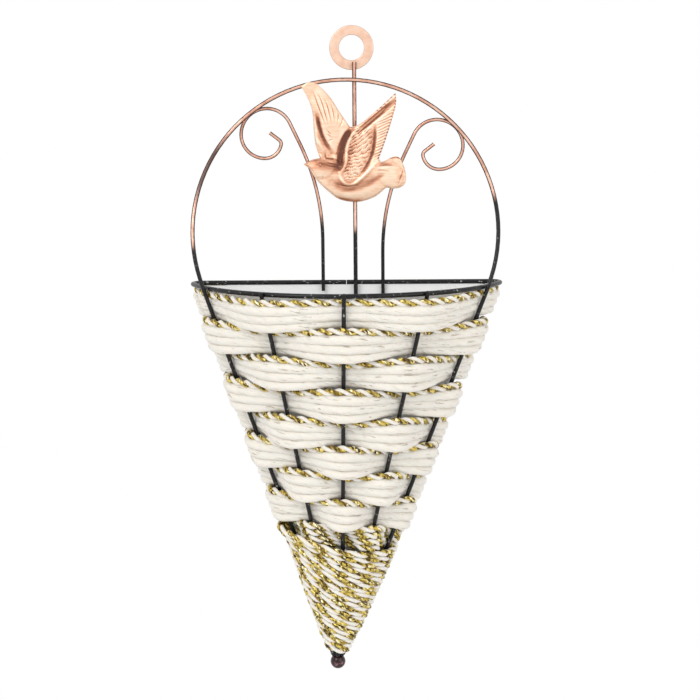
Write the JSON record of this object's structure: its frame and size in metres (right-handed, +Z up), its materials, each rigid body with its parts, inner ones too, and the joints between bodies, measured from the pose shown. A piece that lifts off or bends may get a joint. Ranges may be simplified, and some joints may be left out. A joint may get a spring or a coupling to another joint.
{
  "type": "wall planter",
  "caption": "Wall-hung cone planter of wire woven with ivory rope and gold cord, with a round hoop, copper scrolls and a dove under its hanging ring.",
  "frame": {"origin": "centre of the washer's hanging hole, halfway through its thickness", "axes": "+Z up along the planter's height, +Y towards the wall it hangs on, +X to the right as seen from the front"},
  "size_m": [0.2634, 0.1182, 0.5539],
  "materials": {
    "pale_copper": "pale copper plating, satin",
    "copper_wire": "copper rubbed wire, turning black towards the basket",
    "black_wire": "gloss black enamel",
    "ball_paint": "dark brown gloss",
    "copper_sheet": "brushed copper plating",
    "paper_rope": "ivory twisted paper rope, matt",
    "gold_cord": "white paper and gold tinsel, two-ply",
    "liner_film": "pale grey film"
  },
  "bodies": {
    "root": {"hanging_washer": "pale_copper", "spine_wire": "copper_wire", "hoop_wire": "copper_wire", "scroll_left": "copper_wire", "scroll_right": "copper_wire", "rim_wire": "black_wire", "front_stake_left": "black_wire", "front_stake_centre": "black_wire", "front_stake_right": "black_wire", "back_stake_left": "black_wire", "back_stake_right": "black_wire", "tip_ball": "ball_paint", "dove_ornament": "copper_sheet", "white_rope_upper": "paper_rope", "white_rope_middle": "paper_rope", "white_rope_lower": "paper_rope", "gold_cord": "gold_cord", "gold_band": "gold_cord", "gold_winding": "gold_cord", "liner_front": "liner_film", "liner_back": "liner_film"}
  },
  "joints": []
}
